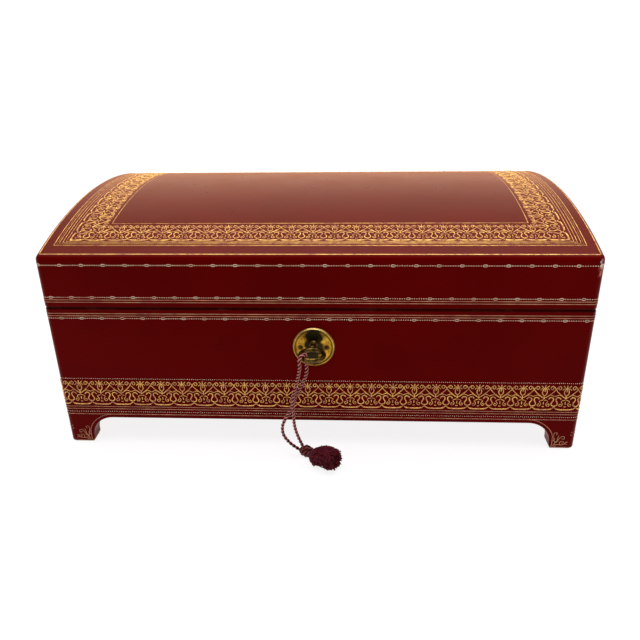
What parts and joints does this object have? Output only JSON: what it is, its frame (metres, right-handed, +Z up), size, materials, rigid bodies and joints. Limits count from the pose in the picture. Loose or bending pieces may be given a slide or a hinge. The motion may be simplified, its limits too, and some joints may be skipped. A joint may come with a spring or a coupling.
{
  "type": "leather jewellery case",
  "caption": "Domed-lid leather jewellery case on bracket feet, with lift-out tray, box lock, key on a tasselled cord and rear hinges.",
  "frame": {"origin": "centre of the case's own footprint, on the surface that its feet stand on; the key, cord and hinges, which stand out at front and back, are not counted", "axes": "+X along the case to the right as seen from the keyhole side, +Y to the back, +Z up"},
  "size_m": [0.305, 0.2373, 0.136],
  "materials": {
    "leather": "smooth glazed oxblood goatskin, gold tooled, lightly worn at the corners",
    "carcass_wood": "plain planed softwood and plywood, hidden",
    "baize": "thin wool baize",
    "velvet": "short cotton velvet over card",
    "satin": "padded satin",
    "ribbon": "grosgrain ribbon",
    "lock_brass": "rolled brass, filed",
    "lock_steel": "drawn mild steel",
    "hinge_brass": "drawn brass, dulled",
    "escutcheon_brass": "lacquered brass, patinated round the keyhole",
    "key_brass": "dark antique brass, rubbed bright on its edges",
    "silk_cord": "two-ply twisted rayon cord",
    "chenille": "cut rayon pile"
  },
  "bodies": {
    "case": {"front_panel": "carcass_wood", "back_panel": "carcass_wood", "left_panel": "carcass_wood", "right_panel": "carcass_wood", "bottom_board": "carcass_wood", "base_baize": "baize", "case_leather": "leather", "lining_front": "velvet", "lining_back": "velvet", "lining_left": "velvet", "lining_right": "velvet", "floor_pad": "velvet", "tray_ledges": "velvet", "lock_plate": "lock_brass", "lock_box": "lock_steel", "lock_screws": "lock_brass", "escutcheon": "escutcheon_brass", "escutcheon_pins": "escutcheon_brass", "hinge_lower_leaves": "hinge_brass", "hinge_pins": "lock_steel", "hinge_lower_screws": "hinge_brass", "cord_front_strand": "silk_cord", "cord_back_strand": "silk_cord", "tassel_knot": "silk_cord", "tassel": "chenille"},
    "lid": {"lid_front_rail": "carcass_wood", "lid_back_rail": "carcass_wood", "lid_left_rail": "carcass_wood", "lid_right_rail": "carcass_wood", "lid_top_board": "carcass_wood", "lid_leather": "leather", "lid_pad": "satin", "lid_lining": "velvet", "lock_catch": "lock_brass", "catch_screws": "lock_brass", "hinge_upper_leaves": "hinge_brass", "hinge_upper_screws": "hinge_brass"},
    "tray": {"tray_front": "velvet", "tray_back": "velvet", "tray_left": "velvet", "tray_right": "velvet", "tray_floor": "velvet", "tray_ring_divider": "velvet", "tray_right_divider": "velvet", "tray_cross_dividers": "velvet", "ring_rolls": "velvet", "tray_tabs": "ribbon"},
    "bolt": {"lock_bolt": "lock_brass"},
    "key": {"key": "key_brass", "cord_hitch": "silk_cord"}
  },
  "joints": [
    {"name": "lid_hinge", "type": "hinge", "parent": "case", "child": "lid", "pos_m": [0, 0.1046, 0.09], "axis": [-1, 0, 0], "range_deg": [0, 100]},
    {"name": "tray_lift", "type": "slide", "parent": "case", "child": "tray", "axis": [0, 0, 1], "range_m": [0, 0.026]},
    {"name": "key_turn", "type": "hinge", "parent": "case", "child": "key", "pos_m": [-0.001, -0.102, 0.0695], "axis": [0, 1, 0], "range_deg": [0, 90]},
    {"name": "bolt_throw", "type": "slide", "parent": "case", "child": "bolt", "axis": [1, 0, 0], "range_m": [0, 0.005]}
  ],
  "couplings": [
    {"joint": "bolt_throw", "follows": "key_turn", "m_per_rad": 0.003183}
  ]
}
